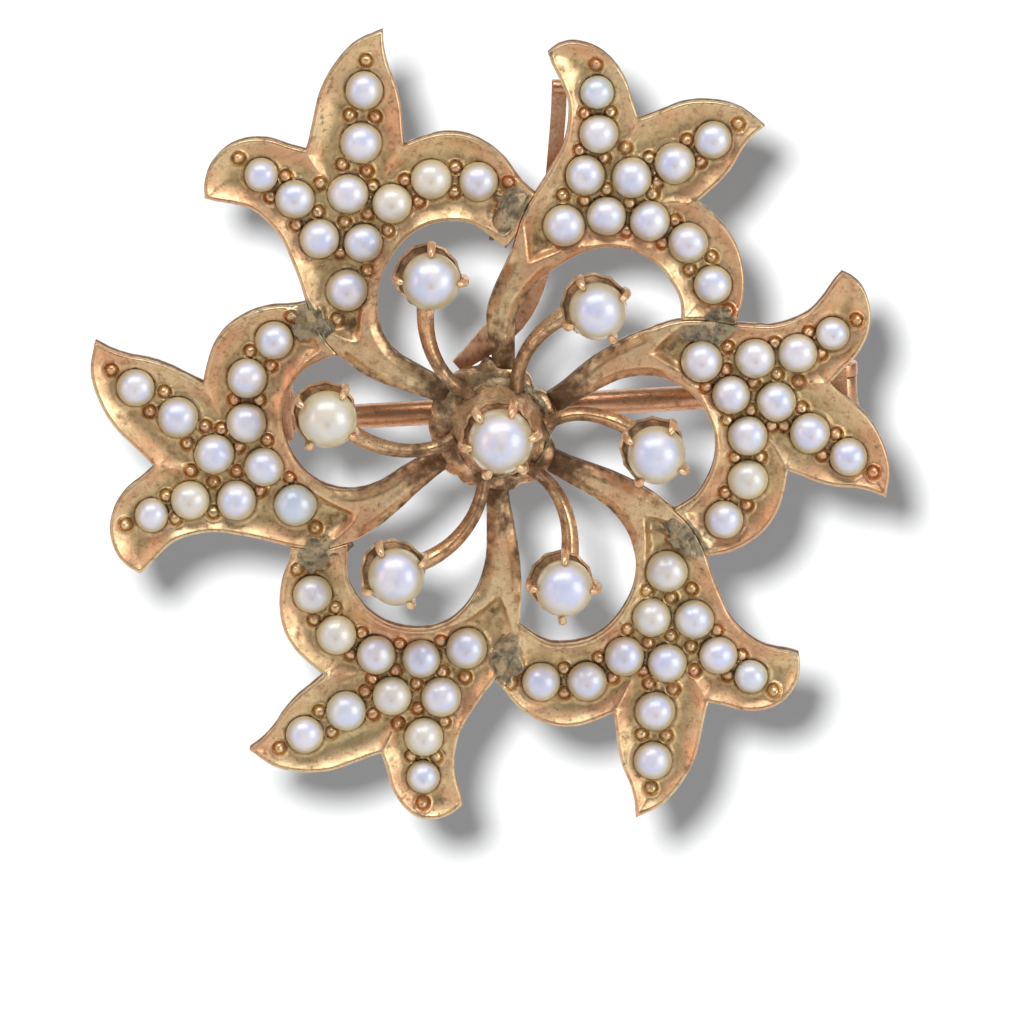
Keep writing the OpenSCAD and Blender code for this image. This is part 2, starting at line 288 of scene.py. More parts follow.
def distance_to(points, starts, ends):
    """Shortest distance from each point to any of the segments."""
    out = np.full(len(points), 1e9)
    run = ends - starts
    size = np.maximum((run * run).sum(1), 1e-12)
    for lo in range(0, len(points), 2000):
        p = points[lo:lo + 2000, None, :]
        t = np.clip(((p - starts) * run).sum(2) / size, 0, 1)
        gap = p - starts - t[..., None] * run
        out[lo:lo + 2000] = np.sqrt((gap * gap).sum(2).min(1))
    return out


def inside(points, loop):
    """Which points lie inside a closed loop."""
    x, y = points[:, 0, None], points[:, 1, None]
    a, b = loop, np.roll(loop, -1, 0)
    straddle = (a[:, 1] > y) != (b[:, 1] > y)
    dy = np.where(np.abs(b[:, 1] - a[:, 1]) < 1e-12, 1e-12, b[:, 1] - a[:, 1])
    cut = a[:, 0] + (y - a[:, 1]) * (b[:, 0] - a[:, 0]) / dy
    return (straddle & (x < cut)).sum(1) % 2 == 1


# ---------------------------------------------------------------- meshes

def add_mesh(name, points, faces, material, body, replaces, smooth_angle=40, **values):
    """An object from points in the plate's frame, with one float attribute for each named value."""
    p = np.asarray(points, float)
    world = np.stack([p[:, 0], BACK - p[:, 2], p[:, 1]], 1) * MM
    mesh = bpy.data.meshes.new(name)
    mesh.from_pydata(world.tolist(), [], [tuple(int(i) for i in f) for f in faces])
    for key, value in values.items():
        attribute = mesh.attributes.new(key, "FLOAT", "POINT")
        attribute.data.foreach_set("value", np.broadcast_to(value, len(p)).astype(np.float32))
    work = bmesh.new()
    work.from_mesh(mesh)
    bmesh.ops.recalc_face_normals(work, faces=work.faces)
    for face in work.faces:
        face.smooth = True
    limit = math.radians(smooth_angle)
    for edge in work.edges:
        edge.smooth = not (len(edge.link_faces) == 2 and edge.calc_face_angle(0) > limit)
    work.to_mesh(mesh)
    work.free()
    obj = bpy.data.objects.new(name, mesh)
    bpy.context.scene.collection.objects.link(obj)
    mesh.materials.append(material)
    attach(obj, body)
    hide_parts(*replaces)
    return obj


class Parts:
    """Collects several closed shapes into one mesh."""

    def __init__(self):
        self.points, self.faces, self.values, self.count = [], [], {}, 0

    def add(self, points, faces, **values):
        self.points.append(np.asarray(points, float))
        self.faces += [tuple(i + self.count for i in f) for f in faces]
        self.count += len(points)
        for key, value in values.items():
            value = np.broadcast_to(value, len(points)).astype(float)
            self.values.setdefault(key, []).append(value)

    def build(self, name, material, body, replaces):
        values = {key: np.concatenate(v) for key, v in self.values.items()}
        points = np.concatenate(self.points)
        return add_mesh(name, points, self.faces, material, body, replaces, **values)


def rings_to_faces(rings, segments, closed=False):
    """Faces of a tube of rings; its two ends are capped unless it closes on itself."""
    faces = []
    for r in range(rings if closed else rings - 1):
        a, b = r * segments, (r + 1) % rings * segments
        for i in range(segments):
            j = (i + 1) % segments
            faces.append((a + i, a + j, b + j, b + i))
    if not closed:
        last = (rings - 1) * segments
        faces += [tuple(range(segments))[::-1], tuple(range(last, last + segments))]
    return faces


def lathe(centre, profile, segments, bend):
    """A turned shape about the w axis at centre: profile is (radius, w) from bottom to top.
    bend(angle, radius, w) changes the radius and w of each point."""
    angles = np.linspace(0, 2 * np.pi, segments, endpoint=False)
    rings = []
    for radius, w in profile:
        r, h = bend(angles, np.full(segments, float(radius)), np.full(segments, float(w)))
        u, v = centre[0] + r * np.cos(angles), centre[1] + r * np.sin(angles)
        rings.append(np.stack([u, v, h], 1))
    return np.concatenate(rings), rings_to_faces(len(rings), segments)


def sweep(path, sections, up=(0, 0, 1)):
    """A closed tube along path; each section is a loop of (side, up) offsets."""
    path = np.asarray(path, float)
    rings = []
    for i, p in enumerate(path):
        along = path[min(i + 1, len(path) - 1)] - path[max(i - 1, 0)]
        along /= np.linalg.norm(along)
        side = np.cross(along, up)
        side /= np.linalg.norm(side)
        rise = np.cross(side, along)
        rings.append(p + sections[i][:, :1] * side + sections[i][:, 1:] * rise)
    return np.concatenate(rings), rings_to_faces(len(rings), len(sections[0]))


def ball(centre, radii, rings, segments, bump, seed, scale):
    """A closed rounded lump; bump is how far its surface wanders, as a share of its radius,
    in lumps of 1/scale radii."""
    points = []
    for i in range(rings + 1):
        polar = math.pi * i / rings
        for j in range(1 if i in (0, rings) else segments):
            turn = 2 * math.pi * j / segments
            ring = math.sin(polar)
            n = Vector((ring * math.cos(turn), ring * math.sin(turn), math.cos(polar)))
            far = 1 + bump * noise.noise(n * scale + Vector((seed, seed * 1.7, -seed)))
            points.append([centre[k] + radii[k] * far * n[k] for k in range(3)])
    faces = [(0, 1 + j, 1 + (j + 1) % segments) for j in range(segments)]
    for i in range(rings - 2):
        a, b = 1 + i * segments, 1 + (i + 1) * segments
        for j in range(segments):
            k = (j + 1) % segments
            faces.append((a + j, b + j, b + k, a + k))
    a, end = 1 + (rings - 2) * segments, len(points) - 1
    faces += [(a + j, end, a + (j + 1) % segments) for j in range(segments)]
    return np.array(points), faces


# ---------------------------------------------------------------- materials

class Shader:
    """Builds a node material step by step."""

    def __init__(self, name):
        self.material = bpy.data.materials.new(name)
        self.material.use_nodes = True
        self.tree = self.material.node_tree
        self.main = self.tree.nodes["Principled BSDF"]
        place = self.tree.nodes.new("ShaderNodeTexCoord")
        self.object = place.outputs["Object"]

    def node(self, kind, **settings):
        """A new node with its settings."""
        n = self.tree.nodes.new(kind)
        for key, value in settings.items():
            setattr(n, key, value)
        return n

    def put(self, socket, value):
        """Gives an input a constant, or links it."""
        if isinstance(value, bpy.types.NodeSocket):
            self.tree.links.new(value, socket)
        else:
            socket.default_value = value

    def noise(self, per_mm, detail):
        """Cloudy noise with about per_mm lumps to a millimetre."""
        n = self.node("ShaderNodeTexNoise")
        n.inputs["Scale"].default_value = per_mm / MM
        n.inputs["Detail"].default_value = detail
        n.inputs["Roughness"].default_value = 0.55
        self.put(n.inputs["Vector"], self.object)
        return n.outputs["Fac"]

    def math(self, operation, a, b, clamp=False):
        n = self.node("ShaderNodeMath", operation=operation, use_clamp=clamp)
        for socket, value in zip(n.inputs, (a, b)):
            self.put(socket, value)
        return n.outputs[0]

    def times(self, a, b):
        return self.math("MULTIPLY", a, b)

    def span(self, value, low, high, out_low=0.0, out_high=1.0):
        """An eased ramp from out_low at low to out_high at high."""
        n = self.node("ShaderNodeMapRange", interpolation_type="SMOOTHSTEP")
        keys = ("Value", "From Min", "From Max", "To Min", "To Max")
        for key, v in zip(keys, (value, low, high, out_low, out_high)):
            self.put(n.inputs[key], v)
        return n.outputs[0]

    def mix(self, factor, a, b):
        """Colour a where factor is 0 and b where it is 1."""
        n = self.node("ShaderNodeMix", data_type="RGBA")
        self.put(n.inputs[0], factor)
        for socket, value in ((n.inputs[6], a), (n.inputs[7], b)):
            self.put(socket, value if isinstance(value, bpy.types.NodeSocket) else (*value, 1.0))
        return n.outputs[2]

    def attribute(self, name):
        return self.node("ShaderNodeAttribute", attribute_name=name).outputs["Fac"]

    def bump(self, height, distance_mm, strength, under=None):
        """Relief of a height, laid over the relief under it."""
        n = self.node("ShaderNodeBump")
        n.inputs["Strength"].default_value = strength
        n.inputs["Distance"].default_value = distance_mm * MM
        self.put(n.inputs["Height"], height)
        if under is not None:
            self.put(n.inputs["Normal"], under)
        return n.outputs["Normal"]


def gold_material(name, tones, roughness, floor=0.0, verdigris=0.0, patina_and_shade_strength=0.0, shine=1.0):
    """Old rose gold between two tones: bright where it is rubbed, and brown with dirt and with
    painted shade.
    Its darkening strength says how much the mesh's darkening attribute browns it: patina near the
    hub, painted shade on the petals' side walls and darker stem bevels. With a floor, the attribute
    "deep" turns it greenish and "tin" covers it with solder. A dull skin has a lower shine."""
    light, warm = tones
    s = Shader(name)
    broad, mottle, fine = s.noise(0.35, 2), s.noise(2.6, 4), s.noise(9.0, 3)
    colour = s.mix(s.span(broad, 0.38, 0.62), light, warm)
    colour = s.mix(s.span(mottle, 0.4, 0.75, 0.0, 0.4), colour, tuple(0.8 * c for c in warm))
    dirt_and_shade_tone = s.mix(s.span(fine, 0.35, 0.65), BROWN, tuple(0.3 * c for c in BROWN))
    if floor:
        deep = s.attribute("deep")
        green = s.mix(s.span(mottle, 0.3, 0.7), *FLOOR_GREEN)
        colour = s.mix(s.times(s.span(deep, 0.45, 1.1), floor), colour, green)
    grime_and_shade = s.span(s.math("ADD", mottle, s.times(fine, 0.35)), 0.76, 0.98, 0.0, 0.55)
    # The darkening attribute carries patina near the hub and painted shade on the petals' side
    # walls
    if patina_and_shade_strength:
        patchy = s.math("ADD", s.attribute("old"), s.times(mottle, 1.6))
        grime_and_shade = s.math("MAXIMUM", grime_and_shade, s.span(patchy, 0.95, 1.75, 0.0, patina_and_shade_strength))
    colour = s.mix(grime_and_shade, colour, dirt_and_shade_tone)
    metal = s.math("SUBTRACT", shine, s.times(grime_and_shade, 0.3), clamp=True)
    if verdigris:
        spots = s.times(s.span(s.noise(1.9, 4), 0.66, 0.72), verdigris)
        colour = s.mix(spots, colour, VERDIGRIS)
        metal = s.times(metal, s.math("SUBTRACT", 1.0, s.times(spots, 0.7)))
    colour = s.mix(s.span(fine, 0.3, 0.7, 0.0, 0.2), colour, FINE_DIRT)
    colour = s.mix(s.span(s.noise(4.6, 3), 0.54, 0.70, 0.0, 0.42), colour, SPECKS)
    if floor:
        tin = s.times(s.attribute("tin"), s.span(mottle, 0.25, 0.5, 0.55, 1.0))
        colour = s.mix(tin, colour, s.mix(s.span(mottle, 0.35, 0.6), *LEAD))
    s.put(s.main.inputs["Base Color"], colour)
    s.put(s.main.inputs["Metallic"], metal)
    rough = s.span(mottle, 0.3, 0.7, roughness - 0.06, roughness + 0.12)
    rough = s.math("ADD", rough, s.times(grime_and_shade, 0.25))
    if floor:
        rough = s.math("ADD", rough, s.times(deep, 0.12))
    s.put(s.main.inputs["Roughness"], rough)
    relief = s.bump(mottle, 0.02, 0.55)
    relief = s.bump(fine, 0.012, 0.7, relief)
    s.put(s.main.inputs["Normal"], relief)
    return s.material


def pearl_material(name):
    """Seed pearl under a soft clear skin: lilac white in the middle, a painted sheen, and darker
    cream towards its edge, painted shade; both follow how the surface turns from the view.
    """
    s = Shader(name)
    tint = s.attribute("tint")
    facing = s.node("ShaderNodeLayerWeight")
    facing.inputs["Blend"].default_value = 0.42
    # Painted shade and sheen: the rim darkens to cream as the surface turns from the view, the
    # middle stays lilac
    edge = s.span(facing.outputs["Facing"], 0.11, 0.46)
    cloud = s.span(s.noise(1.1, 3), 0.35, 0.68)
    colour = s.mix(edge, s.mix(cloud, LILAC, CLOUD), s.mix(tint, *PEARL_EDGE_SHADE))
    colour = s.mix(s.span(tint, 0.78, 0.95, 0.0, 0.5), colour, CREAM)
    colour = s.mix(s.span(tint, 0.0, 0.12, 0.28, 0.0), colour, AQUA)
    # Painted reflection of the camera: a dull brown spot on each pearl's front, stronger on
    # creamier pearls
    pit = s.times(s.attribute("pit"), s.span(tint, 0.15, 0.7, 0.0, 0.6))
    s.put(s.main.inputs["Base Color"], s.mix(pit, colour, CAMERA_SPOT_TONE))
    skin = {"Roughness": 0.34, "IOR": 1.6, "Coat Weight": 1.0, "Coat IOR": 1.85,
            "Coat Roughness": 0.27, "Subsurface Weight": 0.25, "Subsurface Scale": 0.3 * MM,
            "Subsurface Radius": (1.0, 0.8, 0.7)}
    for key, value in skin.items():
        s.main.inputs[key].default_value = value
    s.put(s.main.inputs["Normal"], s.bump(s.noise(1.6, 3), 0.03, 0.35))
    return s.material


def solder_material(name):
    """Grey lead solder, pitted and dirty."""
    s = Shader(name)
    lumps, pits = s.noise(3.2, 4), s.noise(9.0, 4)
    colour = s.mix(s.span(lumps, 0.35, 0.65), *LEAD)
    gold = tuple(0.7 * c for c in LIGHT_GOLD)
    colour = s.mix(s.span(s.noise(1.3, 2), 0.5, 0.62, 0.0, 0.7), colour, gold)
    colour = s.mix(s.span(pits, 0.55, 0.72, 0.0, 0.8), colour, LEAD_PITS)
    s.put(s.main.inputs["Base Color"], colour)
    s.put(s.main.inputs["Metallic"], s.span(lumps, 0.4, 0.7, 0.35, 0.85))
    s.put(s.main.inputs["Roughness"], s.span(pits, 0.3, 0.7, 0.35, 0.6))
    s.put(s.main.inputs["Normal"], s.bump(pits, 0.05, 0.9, s.bump(lumps, 0.1, 0.8)))
    return s.material


GOLD = (LIGHT_GOLD, ROSE_GOLD)
petal_gold = gold_material("petal_gold_worn", GOLD, 0.35, floor=0.8, verdigris=0.6, patina_and_shade_strength=0.9)
setting_gold = gold_material("setting_gold_worn", GOLD, 0.24, verdigris=0.3, patina_and_shade_strength=0.9)
dull_gold = gold_material("crown_gold_dull", DULL_GOLD, 0.27, patina_and_shade_strength=0.8, shine=0.62)
wire_gold = gold_material("wire_gold_copper", WIRE_GOLD, 0.24, verdigris=0.3, patina_and_shade_strength=0.9, shine=0.85)
pin_gold = gold_material("pin_gold_copper", PIN_GOLD, 0.32)
pearl = pearl_material("seed_pearl")
solder = solder_material("old_solder")


# ---------------------------------------------------------------- petals

SOLDER = [(g.min(0) + g.max(0)) / 2 for g in islands("solder_joints")]
rng = np.random.default_rng(SEED)


def pearl_spots(node):
    """Centre (u, v, w) and radius of each pearl in a CAD node, whose solids are balls cut off
    flat below their middles."""
    spots = []
    for group in islands(node):
        low, high = group.min(0), group.max(0)
        radius = (high[0] - low[0]) / 2
        spots.append([*(low[:2] + high[:2]) / 2, high[2] - radius, radius])
    return np.array(spots)


def grain_spots(pearls, loop):
    """Raised grains in the gaps between neighbouring pearls, two to a gap and none too close."""
    spots = []
    for i in range(len(pearls)):
        for j in range(i):
            a, b = pearls[i, :2], pearls[j, :2]
            span = np.linalg.norm(b - a)
            if span > GRAIN_REACH:
                continue
            across = np.array([a[1] - b[1], b[0] - a[0]]) / span
            for side in (-1, 1):
                spots.append((a + b) / 2 + side * GRAIN_SIDE * across)
    # The lone grain beyond the last pearl of each arm
    for i, p in enumerate(pearls):
        near = [q[:2] for j, q in enumerate(pearls)
                if j != i and np.linalg.norm(q[:2] - p[:2]) < GRAIN_REACH]
        if len(near) == 1:
            away = (p[:2] - near[0]) / np.linalg.norm(p[:2] - near[0])
            spots.append(p[:2] + away * (p[3] + GRAIN_END))
    kept = []
    for g in spots:
        room = min(np.linalg.norm(g - p[:2]) - p[3] for p in pearls)
        if room >= GRAIN_ROOM and all(np.linalg.norm(g - k) >= GRAIN_APART for k in kept):
            kept.append(g)
    kept = np.array(kept)
    edge = distance_to(kept, loop, np.roll(loop, -1, 0))
    return kept[inside(kept, loop) & (edge > GRAIN_INSET)]


def notches(loop):
    """The two sharp inward corners of an outline, each with the way straight in."""
    found = []
    bend = turns(loop)
    for i in np.argsort(bend):
        if len(found) == 2 or bend[i] > NOTCH_TURN:
            break
        p = loop[i]
        taken = any(np.linalg.norm(p - q) < NOTCH_APART for q, _ in found)
        if np.linalg.norm(p - HUB) < NOTCH_RADIUS or taken:
            continue
        before, after = loop[i - 3] - p, loop[(i + 3) % len(loop)] - p
        way = -(before / np.linalg.norm(before) + after / np.linalg.norm(after))
        found.append((p, way / np.linalg.norm(way)))
    return found


def solder_cover(points):
    """How far solder has flowed over each point, from 0 to 1."""
    ragged = 0.4 * wobble(points, 1.5, 8.0) + 0.25 * wobble(points, 3.5, 2.0)
    cover = np.zeros(len(points))
    for spot in SOLDER:
        if np.linalg.norm(spot[:2] - HUB) > HUB_RANGE:
            off = np.linalg.norm(points - spot[:2], axis=1)
            cover = np.maximum(cover, smooth((SOLDER_REACH - off + ragged) / 0.25))
    return cover


def petal_height(points, edge, creases, grains, pearls, seed):
    """Height of the petal's face above its back at each point, how deep in the scooped floor
    it lies, and how much solder covers it."""
    from_hub = np.linalg.norm(points - HUB, axis=1)
    stem = 1 - smooth((from_hub - FORK_RADIUS + 0.35) / 0.7)
    inward = edge - np.maximum(0, FORK_RADIUS + 1.5 - from_hub) * 0.42
    width = SCOOP_WIDTH * (0.42 + 0.58 * smooth((from_hub - FORK_RADIUS - 0.3) / 1.8))
    t = np.clip((inward - RIM_WIDTH) / width, 0, 1)
    down = 1 - (1 - t) ** 1.7
    face = PLATE - SCOOP_DEPTH * down
    ridge = np.clip((edge - 0.05) / STEM_BEVEL, 0, 1)
    bar = PLATE - STEM_DROP * (1 - ridge)
    height = face * (1 - stem) + bar * stem
    for start, way in creases:
        along = np.clip((points - start) @ way, 0, CREASE_LENGTH)
        off = np.linalg.norm(points - start - along[:, None] * way, axis=1)
        crest = PLATE - 0.02 - SCOOP_DEPTH * smooth(along / CREASE_LENGTH) - 0.62 * off
        height = np.maximum(height, np.where(stem > 0.5, 0, crest))
    height += 0.012 * wobble(points, 1.4, seed) * smooth(edge / 0.3)
    height -= 0.075 * (1 - np.clip(edge / RIM_SOFT, 0, 1)) ** 2
    deep = np.clip((PLATE - height - 0.06) / (SCOOP_DEPTH - 0.06), 0, 1) * (1 - stem)
    for g in grains:
        off = np.linalg.norm(points - g, axis=1)
        bead = np.sqrt(np.maximum(0, 1 - (off / GRAIN_RADIUS) ** 2)) * GRAIN_RADIUS * 1.05
        collar, groove = 0.06 * bell(off, 0.33, 0.045), -0.05 * bell(off, 0.25, 0.04)
        height += np.where(off < GRAIN_RADIUS, bead, 0) + collar + groove
        deep = deep * smooth((off - 0.16) / 0.1)
    for p in pearls:
        off = np.linalg.norm(points - p[:2], axis=1) - p[3]
        height += 0.07 * bell(off, 0.1, 0.07) * (edge > 0.2)
        seat = np.minimum(height, PLATE - SCOOP_DEPTH - SEAT_DEPTH)
        height = np.where(off < -0.04, seat, height)
    cover = solder_cover(points)
    crust = PLATE - 0.03 + 0.07 * wobble(points, 2.6, 4.0) + 0.04 * wobble(points, 6.0, 1.0)
    height += (crust - height) * 0.85 * cover * np.clip(edge / 0.08, 0.4, 1)
    return height, deep * (1 - cover), cover


def face_mesh(outline, ends, pearls, grains):
    """Points and triangles of a petal's face: rows that keep the rim crisp, a fine grid inside
    them, and rings round each grain."""
    along = ends - np.roll(outline, 1, 0)
    normal = np.stack([-along[:, 1], along[:, 0]], 1)
    normal /= np.linalg.norm(normal, axis=1)[:, None]
    rows = []
    for d in RIM_ROWS:
        row = outline + d * normal
        gap = distance_to(row, outline, ends)
        rows.append(row[inside(row, outline) & (gap > 0.97 * d)])
    low, high = outline.min(0), outline.max(0)
    us = np.arange(low[0], high[0], GRID_STEP)
    vs = np.arange(low[1], high[1], GRID_STEP * 0.866)
    grid = np.array([[u + (j % 2) * GRID_STEP / 2, v] for j, v in enumerate(vs) for u in us])
    grid = grid[inside(grid, outline)]
    grid = grid[distance_to(grid, outline, ends) > RIM_ROWS[-1] + GRID_GAP]
    for g in grains:
        grid = grid[np.linalg.norm(grid - g, axis=1) > GRAIN_CLEAR]
    for p in pearls:
        grid = grid[np.linalg.norm(grid - p[:2], axis=1) > p[3] - 0.12]
    rows.append(grid)
    for g in grains:
        for n, r in GRAIN_RINGS:
            a = np.arange(n) * 2 * np.pi / n + r * 9
            ring = g + r * np.stack([np.cos(a), np.sin(a)], 1)
            ring = ring[inside(ring, outline)]
            if len(ring):
                rows.append(ring[distance_to(ring, outline, ends) > 0.03])
    inner = np.concatenate([r for r in rows if len(r)])
    n = len(outline)
    corners = [Vector(p) for p in np.concatenate([outline, inner])]
    result = delaunay_2d_cdt(corners, [(i, (i + 1) % n) for i in range(n)], [], 1, 1e-5)
    return np.array([tuple(v) for v in result[0]]), [tuple(f) for f in result[2]]


def border_loop(triangles):
    """The points round the edge of a sheet of triangles, in order."""
    sides = {}
    for f in triangles:
        for i in range(3):
            side = f[i], f[(i + 1) % 3]
            sides.setdefault(frozenset(side), []).append(side)
    border = [found[0] for found in sides.values() if len(found) == 1]
    onward = dict(border)
    first = border[0][0]
    loop, here = [first], onward[first]
    while here != first:
        loop.append(here)
        here = onward[here]
    return loop


def make_petal(k):
    """One petal, with walls that drop from its outline to a flat back; returns its pearls."""
    outline = resample(back_outline(f"petal_{k}"), OUTLINE_STEP)
    pearls = pearl_spots(f"petal_pearls_{k}")
    grains = grain_spots(pearls, outline)
    ends = np.roll(outline, -1, 0)
    points, top = face_mesh(outline, ends, pearls, grains)
    edge = distance_to(points, outline, ends)
    height, deep, cover = petal_height(points, edge, notches(outline), grains, pearls, 3.1 * k)
    loop = border_loop(top)
    m = len(points)
    base = [Vector(points[i]) for i in loop]
    size = len(loop)
    under = delaunay_2d_cdt(base, [(i, (i + 1) % size) for i in range(size)], [], 1, 1e-6)
    face_points = np.column_stack([points, height])
    wall = np.column_stack([points[loop], WALL_MIDDLE * height[loop]])
    ground = np.array([[v[0], v[1], 0.0] for v in under[0]])
    faces = list(top)
    for i in range(size):
        j = (i + 1) % size
        a, b = loop[i], loop[j]
        faces += [(b, a, m + i, m + j), (m + j, m + i, m + size + i, m + size + j)]
    faces += [tuple(m + size + i for i in f)[::-1] for f in under[2]]
    everything = np.concatenate([face_points, wall, ground])
    from_hub = np.linalg.norm(everything[:, :2] - HUB, axis=1)
    deep = np.concatenate([deep, np.zeros(len(wall) + len(ground))])
    tin = np.concatenate([cover, cover[loop], np.zeros(len(ground))])
    old = np.clip(1.12 - (from_hub - HUB_RADIUS) / 2.7, 0, 1)
    old = np.maximum(old, 0.5 * deep * smooth((FORK_RADIUS + 1.7 - from_hub) / 1.2))
    # The stem's bevelled sides are coloured darker than its middle
    side = 1 - np.clip((edge - 0.05) / STEM_BEVEL, 0, 1)
    side = side * (1 - smooth((from_hub[:m] - FORK_RADIUS + 1) / 1.6))
    old[:m] = np.maximum(old[:m], STEM_SIDE_DARKENING * side)
    # Painted shade: the petals' side walls are browned all over
    old[m:m + size] = WALL_SHADE
    obj = add_mesh(f"Petal_{k}", everything, faces, petal_gold, "brooch", [f"petal_{k}"],
                   smooth_angle=50, deep=deep, old=old, tin=tin)
    return pearls


def pearl_group(name, spots, replaces, seat=None, tint=None):
    """Slightly uneven pearls, cut off flat at height seat, each with its own tint unless one
    is given."""
    parts = Parts()
    for u, v, w, radius in spots:
        stretch = radius * (1 + PEARL_UNEVEN * (rng.random(3) - 0.5))
        seed = rng.random() * 40
        points, faces = ball((u, v, w), stretch, PEARL_RINGS, PEARL_SEGMENTS,
                             bump=PEARL_UNEVEN, seed=seed, scale=1.0)
        off = np.linalg.norm(points - (u, v, w + radius), axis=1)
        if seat is not None:
            points[:, 2] = np.maximum(points[:, 2], seat)
        shade = rng.random()
        # Painted reflection of the camera: strongest at the pearl's front pole, which faces the
        # camera
        pit = np.clip(1.2 - off / (CAMERA_SPOT_SIZE * radius), 0, 1)
        parts.add(points, faces, tint=shade if tint is None else tint, pit=pit)
    obj = parts.build(name, pearl, "brooch", replaces)


for k in range(1, 7):
    spots = make_petal(k)
    spots[:, 2] += PEARL_RAISE
    pearl_group(f"Petal_pearls_{k}", spots, [f"petal_pearls_{k}"], PEARL_SEAT)

# ---------------------------------------------------------------- centre and stamens

crown_low, crown_high = box_mm("centre_crown")
CROWN_TOP = BACK - crown_low[1]
centre_box = box_mm("centre_pearl")
CENTRE_RADIUS = (centre_box[1][0] - centre_box[0][0]) / 2
CENTRE_W = BACK - (centre_box[0][1] + centre_box[1][1]) / 2
CROWN_FOOT = (crown_high[0] - crown_low[0]) / 2

# Hub: a rough soldered disc, domed towards the crown
hub_profile = [(0.02, 0.04), (HUB_RADIUS * 0.99, 0.04), (HUB_RADIUS, 0.12),
               (HUB_RADIUS, PLATE - 0.1), (HUB_RADIUS - 0.06, PLATE - 0.02),
               (HUB_RADIUS - 0.3, PLATE + 0.03), (HUB_RADIUS - 0.7, PLATE + 0.07),
               (1.2, PLATE + 0.08), (0.02, PLATE + 0.08)]


def spoke(node):
    """Direction in which a stem or wire leaves the hub."""
    points = flat(node_points(node))[:, :2] - HUB
    near = np.argsort(np.abs(np.linalg.norm(points, axis=1) - HUB_RADIUS - 0.4))[:10]
    return math.atan2(points[near, 1].mean(), points[near, 0].mean())


SPOKES = [spoke(f"{kind}_{k}") for kind in ("petal", "stamen_wire") for k in range(1, 7)]


def ragged_edge(angles, r, h):
    """The hub runs out along each stem and wire and draws back between them. It reaches
    furthest on the left and beside the bail's end, and least on the right."""
    web = np.max([bell(np.cos(angles - a), 1, 0.045) for a in SPOKES], 0)
    rough = np.array([noise.noise(Vector((2.4 * math.cos(a), 2.4 * math.sin(a), 9)))
                      for a in angles])
    lean = 0.4 * np.clip(np.cos(angles - 2.9), 0, 1) ** 2
    lean -= 0.24 * np.clip(np.cos(angles - 0.2), 0, 1) ** 2
    lean += 0.4 * bell(angles, 1.77, 0.14)
    spread = 0.26 * web - 0.05 + 0.2 * rough + lean
    out = smooth((r - 1.9) / 0.45)
    return r + spread * out, h - 0.16 * out * (h > PLATE / 2)


points, faces = lathe(HUB, hub_profile, HUB_SEGMENTS, ragged_edge)
lumpy = (points[:, 2] > PLATE - 0.12) & (np.linalg.norm(points[:, :2] - HUB, axis=1) > 1)
points[lumpy, 2] += 0.06 * wobble(points[lumpy], 1.6, 5.0) + 0.03 * wobble(points[lumpy], 4.0, 6.0)
hub = add_mesh("Hub_plate", points, faces, setting_gold, "brooch", ["hub_plate"],
               old=0.6 + 0.5 * wobble(points, 1.3, 2.0))


def claw(centre, angle, controls, foot_width, tip_width):
    """A stubby claw in the plane through centre at angle, bent through three (radius, w)."""
    steps = 10
    turn = np.linspace(0, 2 * np.pi, 10, endpoint=False)
    bend = [np.polyfit((0, 0.5, 1), [c[k] for c in controls], 2) for k in (0, 1)]
    path, sections = [], []
    for i in range(steps + 1):
        t = i / steps
        radius, w = np.polyval(bend[0], t), np.polyval(bend[1], t)
        path.append([centre[0] + radius * math.cos(angle),
                     centre[1] + radius * math.sin(angle), w])
        width = foot_width + (tip_width - foot_width) * t
        if i > steps - 2:
            width *= (0.85, 0.45)[i - steps + 1]
        sections.append(np.stack([width * np.cos(turn), width * 0.8 * np.sin(turn)], 1))
    return sweep(path, sections, up=(math.cos(angle), math.sin(angle), 0.001))


def scallop(angles, phase, count):
    """1 at each claw, 0 midway between two."""
    return 0.5 + 0.5 * np.cos(count * (angles - phase))


def crown(name, node, centre, lean, low, high, foot, top, claws, phase, reach, tip_w, width, old):
    """A fluted cup of metal from height low to high, off its pearl's centre by lean, with claws
    that bend in over the pearl."""
    def fluted(angles, r, h):
        wave = scallop(angles, phase, claws)
        part = np.clip((h - low) / (high - low), 0, 1)
        facet = 1 - 0.07 * np.abs(np.sin(1.5 * claws * (angles - phase))) * (1 - 0.4 * part)
        return r * facet * (1 + 0.05 * (wave - 0.5) * part), h - 0.16 * (1 - wave) * part ** 3
    parts = Parts()
    steps = 9
    belly = -0.1 if foot > top else 0.12
    profile = [(0.02, low), (foot, low)]
    for i in range(1, steps + 1):
        t = i / steps
        radius = foot + (top - foot) * t + belly * math.sin(math.pi * t)
        profile.append((radius, low + (high - low) * t))
    profile += [(top - 0.1, high + 0.02), (top - 0.2, high - 0.25), (0.02, high - 0.5)]
    points, faces = lathe(centre + lean, profile, 96, fluted)
    parts.add(points, faces, old=old + 0.3 * wobble(points, 1.6, 7.0))
    for i in range(claws):
        angle = phase + 2 * math.pi * i / claws
        bend = (top - 0.05, high - 0.4), (top + 0.04, (high + tip_w) / 2), (reach, tip_w)
        points, faces = claw(centre + lean * CLAW_SHIFT, angle, bend, width, 0.75 * width)
        parts.add(points, faces, old=-1.0)
    obj = parts.build(name, dull_gold, "brooch", [node])


